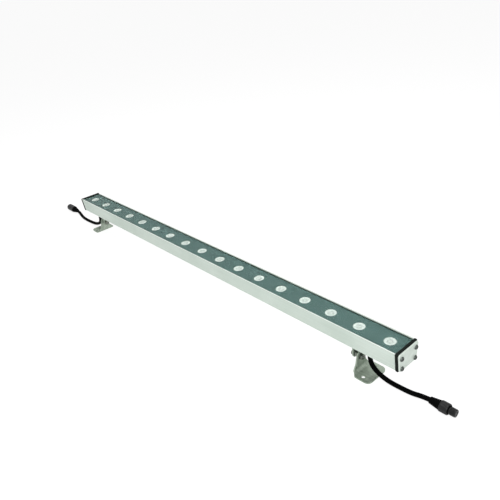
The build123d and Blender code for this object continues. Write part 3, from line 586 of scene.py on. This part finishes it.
over = Matrix.Rotation(math.pi, 4, "X")
for side, sign in sides.items():
    inner, outer = reachOf(side + "_pivot_bolt", sign)
    shank = abs(outer - inner) - bolt["head"]
    head = hexagon(bolt["flats"], bolt["head"])
    ridge = thread(bolt["radius"], bolt["pitch"], bolt["turns"], bolt["depth"])
    under = facing(sign, inner + sign * bolt["head"], 0, bolt["height"])
    climb = shank - bolt["turns"] * bolt["pitch"] - bolt["start"]
    addPiece(gather([
        (head, under @ over), (rod(bolt["radius"] - bolt["depth"], shank), under),
        (ridge, under @ Matrix.Translation((0, 0, climb * mm)))]), side + "_pivot_bolt")

    inner = reachOf(side + "_pivot_nut", sign)[0]
    nut = hexagon(bolt["flats"], bolt["nut"], bolt["radius"] + bolt["fit"])
    turn = Matrix.Rotation(math.radians(bolt["nutTurn"]), 4, "Z")
    addPiece(gather([(nut, facing(sign, inner, 0, bolt["height"]) @ turn)]), side + "_pivot_nut")

    low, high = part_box(side + "_clamp_bolt")
    under = Matrix.Translation(((low[0] + high[0]) / 2, 0, low[2] + bolt["head"] * mm))
    length = (high[2] - low[2]) / mm - bolt["head"]
    head = hexagon(bolt["flats"], bolt["head"])
    addPiece(gather([(head, under @ over), (rod(bolt["radius"], length), under)]), side + "_clamp_bolt")
print("bolts and nuts made")


# leads: down from the gland and along the floor to the connector; routes in millimetres, length in metres
leads = {
    "right": {
        "route": [(430, 0, 41), (430, 0, 29), (435.6, 0, 17.2), (448, -0.1, 8.9), (467, -0.2, 4.1),
                  (489, 0.1, 4), (509, 0.9, 4.5), (525, 2.2, 7.9), (538, 2.6, 9)],
        "length": 0.1305},
    "left": {
        "route": [(-464, 0, 41), (-464, 0, 29), (-469.8, 0.3, 17.6), (-482.5, 0.2, 9.2), (-502.5, -1.6, 4.2),
                  (-526, -3.4, 4), (-550, -4.2, 4), (-572, -2.8, 4.2), (-591, 0.6, 5.9), (-608, 3.8, 8.7),
                  (-622, 4.3, 9)],
        "length": 0.1801},
    "diameter": 8 * mm}


# connectors: ribbed boot, fluted grip, and a nose that is threaded on the socket
boot = {
    "length": 17.0, "small": 5.5, "large": 8.0, "chamfer": 0.5, "plain": 2.0,  # plain at each end
    "ribs": 5, "groove": 0.7, "share": 0.45, "lip": 0.15, "edge": 0.3}  # share of a groove in its pitch
grip = {
    "length": 14.0, "radius": 9.0, "flutes": 12, "scoop": 0.55, "bare": 2.5,  # bare at each end
    "shoulder": [(-1.2, 0), (-0.2, 0.8), (0, 2.0), (0, 4.0)],  # out from its radius, along from its start
    "front": [(0, -3.0), (0, -1.2), (-0.3, -0.3), (-0.6, 0)]}  # and along from its end
pins = {
    "count": 4, "circle": 2.5, "radius": 0.8, "hole": 0.9, "length": 7.0, "sunk": 0.5,
    "tip": [(0.8, -0.7), (0.48, -0.15), (0, 0)]}  # radius, and along from the end
plug = {"nose": 6.5, "neck": 8.0, "edge": 0.3}
socket = {
    "nose": 6.5, "reach": 12.0, "chamfer": 0.4,
    "pitch": 1.5, "turns": 5.5, "depth": 0.45, "start": 1.0,  # thread
    "seat": 1.4, "groove": 1.0, "slant": 0.1,  # groove of the seal ring
    "sealRadius": 6.65, "sealSection": 0.62, "sealSides": 14}


def ribbedBoot():
    end = boot["length"]
    profile = [(0, 0), (boot["small"] - boot["chamfer"], 0), (boot["small"], boot["chamfer"])]
    pitch = (end - 2 * boot["plain"]) / boot["ribs"]
    for i in range(boot["ribs"]):
        start = boot["plain"] + i * pitch
        stop = start + boot["share"] * pitch
        swell = boot["small"] + (boot["large"] - boot["small"]) * start / end
        profile += [(swell, start), (swell - boot["groove"], start + boot["edge"]),
                    (swell - boot["groove"], stop), (swell + boot["lip"], stop + boot["edge"])]
    profile += [(boot["large"], end - boot["edge"]), (boot["large"] - boot["edge"], end), (0, end)]
    return spun(profile)


def flutedGrip(nose):
    # scooped between the flutes; nose carries the profile on past the front
    start, end = boot["length"], boot["length"] + grip["length"]
    profile = [(0, start)]
    profile += [(grip["radius"] + out, start + along) for out, along in grip["shoulder"]]
    profile += [(grip["radius"] + out, end + along) for out, along in grip["front"]]
    bm = spun(profile + nose, 96)
    for vert in bm.verts:
        if start + grip["bare"] < vert.co.z / mm < end - grip["bare"]:
            wave = 0.5 + 0.5 * math.cos(grip["flutes"] * math.atan2(vert.co.y, vert.co.x))
            shrink = 1 - grip["scoop"] * wave ** 2 / grip["radius"]
            vert.co.x *= shrink
            vert.co.y *= shrink
    return bm


def laid(side):
    # a connector's Z laid along the bar, outwards from the end of its lead
    return facing(sides[side], *leads[side]["route"][-1])


for side, kind in (("left", "plug"), ("right", "socket")):
    addPiece(gather([(ribbedBoot(), laid(side))]), f"{side}_{kind}_boot")

front = boot["length"] + grip["length"]
end = front + plug["neck"]
nose = [(plug["nose"], front), (plug["nose"], end - plug["edge"]), (plug["nose"] - plug["edge"], end),
        (0, end)]
addPiece(gather([(flutedGrip(nose), laid("left"))]), "left_plug_body")
root, tip = end - pins["sunk"], end + pins["length"]
pin = spun([(0, root), (pins["radius"], root)] + [(radius, tip + along) for radius, along in pins["tip"]], 20)
aside = Matrix.Translation((pins["circle"] * mm, 0, 0))
around = [Matrix.Rotation(2 * math.pi * i / pins["count"], 4, "Z") @ aside for i in range(pins["count"])]
addPiece(gather([(pin, laid("left") @ place) for place in around]), "left_plug_pins")

seat = front + socket["seat"]
end = front + socket["reach"]
core = socket["nose"] - socket["depth"]
waist = socket["nose"] - socket["groove"]
nose = [(waist, front), (waist, seat), (core, seat + socket["slant"]), (core, end - socket["chamfer"]),
        (core - socket["chamfer"], end), (0, end)]
body = flutedGrip(nose)
for place in around:
    inner, outer = end - pins["length"], end + 1  # the cutter stands proud of the nose
    hole = spun([(0, inner), (pins["hole"], inner), (pins["hole"], outer), (0, outer)], 20)
    bmesh.ops.transform(hole, matrix=place, verts=hole.verts)
    body = carved(body, hole, "DIFFERENCE")
winding = thread(socket["nose"], socket["pitch"], socket["turns"], socket["depth"], 48)
bmesh.ops.translate(winding, verts=winding.verts, vec=(0, 0, (seat + socket["start"]) * mm))
addPiece(gather([(body, laid("right")), (winding, laid("right"))]), "right_socket_body")

# the seal ring: a circle stood up on its groove, with local Y outwards, and turned
upright = Matrix(((0, 1, 0), (0, 0, 1), (1, 0, 0))).to_4x4()
middle = Matrix.Translation((socket["sealRadius"] * mm, 0, (front + socket["seat"] / 2) * mm))
ring = bmesh.new()
bmesh.ops.create_circle(ring, segments=socket["sealSides"], radius=socket["sealSection"] * mm,
                        matrix=middle @ upright)
addPiece(gather([(turned(ring, 48), laid("right"))]), "right_socket_seal")
print("connectors made")

for side in ("right", "left"):
    curve = bpy.data.curves.new(side + "Lead", "CURVE")
    curve.dimensions = "3D"
    curve.bevel_depth = leads["diameter"] / 2
    curve.bevel_resolution = 8
    curve.use_fill_caps = True
    spline = curve.splines.new("NURBS")
    spline.points.add(len(leads[side]["route"]) - 1)
    for point, place in zip(spline.points, leads[side]["route"]):
        point.co = [p * mm for p in place] + [1]
    spline.order_u = 3
    spline.use_endpoint_u = True
    spline.resolution_u = 12
    curve.materials.append(finishes["lead_rubber"])
    lead = bpy.data.objects.new(side + "Lead", curve)
    scene.collection.objects.link(lead)
    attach(lead, "bar")
    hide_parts(side + "_lead")
print("leads laid")


# studio: floor width in metres, light of the room on the part, and strength of the floor as it is seen
studio = {"floor": 80.0, "world": 0.35, "lift": 0.85}

bm = bmesh.new()
bmesh.ops.create_grid(bm, x_segments=1, y_segments=1, size=studio["floor"] / 2)
floorMesh = bpy.data.meshes.new("floor")
bm.to_mesh(floorMesh)
bm.free()
floor = bpy.data.objects.new("floor", floorMesh)
scene.collection.objects.link(floor)
# white paper: it takes the shadow, and glows for the camera and in gloss so that it shows as white
paper, tree, place = startMaterial("white paper floor")
fibre = addNode(tree, "TexNoise", {"Vector": place, "Scale": 40.0, "Detail": 2.0})  # 25 mm clouds of fibre
shade = addNode(tree, "ValToRGB", {"Fac": fibre}, stops=[(0.3, "F3F3F3"), (0.7, "F5F5F5")])
matt = addNode(tree, "BsdfDiffuse", {"Color": shade})
faint = addNode(tree, "BsdfDiffuse", {"Color": "959595"})
glow = addNode(tree, "Emission", {"Color": "FFFFFF", "Strength": studio["lift"]})
lifted = addNode(tree, "AddShader", {0: faint, 1: glow})
rays = addNode(tree, "LightPath", {}).outputs
seen = addNode(tree, "Math", {0: rays["Is Camera Ray"], 1: rays["Is Glossy Ray"]}, operation="MAXIMUM")
both = addNode(tree, "MixShader", {0: seen, 1: matt, 2: lifted})
addNode(tree, "OutputMaterial", {"Surface": both})
floorMesh.materials.append(paper)

# the room is white where it is seen, in gloss or through the glass, and dimmer as a light
world = bpy.data.worlds.new("studio")
scene.world = world
world.use_nodes = True
tree = world.node_tree
tree.nodes.clear()
rays = addNode(tree, "LightPath", {}).outputs
seen = addNode(tree, "Math", {0: rays["Is Camera Ray"], 1: rays["Is Glossy Ray"]}, operation="MAXIMUM")
seen = addNode(tree, "Math", {0: seen, 1: rays["Is Transmission Ray"]}, operation="MAXIMUM")
level = addNode(tree, "MapRange", {"Value": seen, "To Min": studio["world"], "To Max": 1.0})
air = addNode(tree, "Background", {"Color": "FFFFFF", "Strength": level})
addNode(tree, "OutputWorld", {"Surface": air})

# soft square lamps that look at the middle of the floor: place and size in metres, power in watts
lamps = {
    "key": {"place": (1.05, -1.2, 1.2), "size": 0.7, "power": 15},
    "top": {"place": (0.3, 0.1, 2.0), "size": 1.4, "power": 14}}
for name, lamp in lamps.items():
    lampData = bpy.data.lights.new(name, "AREA")
    lampData.shape = "SQUARE"
    lampData.size = lamp["size"]
    lampData.energy = lamp["power"]
    lampObject = bpy.data.objects.new(name, lampData)
    lampObject.location = lamp["place"]
    lampObject.rotation_euler = (-Vector(lamp["place"])).to_track_quat("-Z", "Y").to_euler()
    scene.collection.objects.link(lampObject)
print("studio lit")
